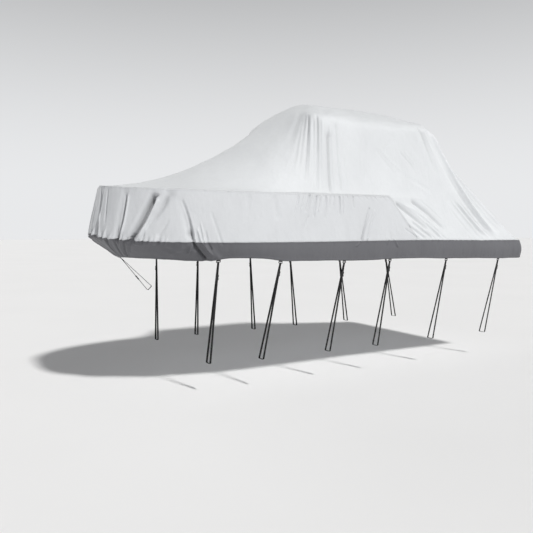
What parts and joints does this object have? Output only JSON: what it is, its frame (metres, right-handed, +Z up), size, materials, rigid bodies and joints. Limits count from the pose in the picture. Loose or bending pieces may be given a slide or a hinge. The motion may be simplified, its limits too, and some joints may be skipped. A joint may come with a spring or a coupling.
{
  "type": "boat cover",
  "caption": "Fitted cover for a boat with a hard top: white top, grey side panels and a dark hem band, with webbing tie-down straps.",
  "frame": {"origin": "under the middle of the cover's roof, on its underside, where the boat's hard top holds it up", "axes": "+X aft along the boat, +Y to starboard, +Z up"},
  "size_m": [6.3142, 2.5934, 3.3545],
  "materials": {
    "top_cloth": "white woven polyester, faint satin",
    "side_cloth": "light grey woven polyester",
    "band_cloth": "dark grey woven polyester",
    "webbing": "black woven webbing",
    "buckle": "moulded black plastic"
  },
  "bodies": {
    "root": {"top_panel": "top_cloth", "side_panel_port": "side_cloth", "side_panel_starboard": "side_cloth", "skirt_band": "band_cloth", "strap_port_1": "webbing", "strap_port_2": "webbing", "strap_port_3": "webbing", "strap_port_4": "webbing", "strap_port_5": "webbing", "strap_port_6": "webbing", "strap_starboard_1": "webbing", "strap_starboard_2": "webbing", "strap_starboard_3": "webbing", "strap_starboard_4": "webbing", "strap_starboard_5": "webbing", "strap_starboard_6": "webbing", "strap_bow": "webbing", "loop_port_1": "webbing", "loop_port_2": "webbing", "loop_port_3": "webbing", "loop_port_4": "webbing", "loop_port_5": "webbing", "loop_port_6": "webbing", "loop_starboard_1": "webbing", "loop_starboard_2": "webbing", "loop_starboard_3": "webbing", "loop_starboard_4": "webbing", "loop_starboard_5": "webbing", "loop_starboard_6": "webbing", "loop_bow": "webbing", "buckle_port_1": "buckle", "buckle_port_2": "buckle", "buckle_port_3": "buckle", "buckle_port_4": "buckle", "buckle_port_5": "buckle", "buckle_port_6": "buckle", "buckle_starboard_1": "buckle", "buckle_starboard_2": "buckle", "buckle_starboard_3": "buckle", "buckle_starboard_4": "buckle", "buckle_starboard_5": "buckle", "buckle_starboard_6": "buckle", "buckle_bow": "buckle"}
  },
  "joints": []
}
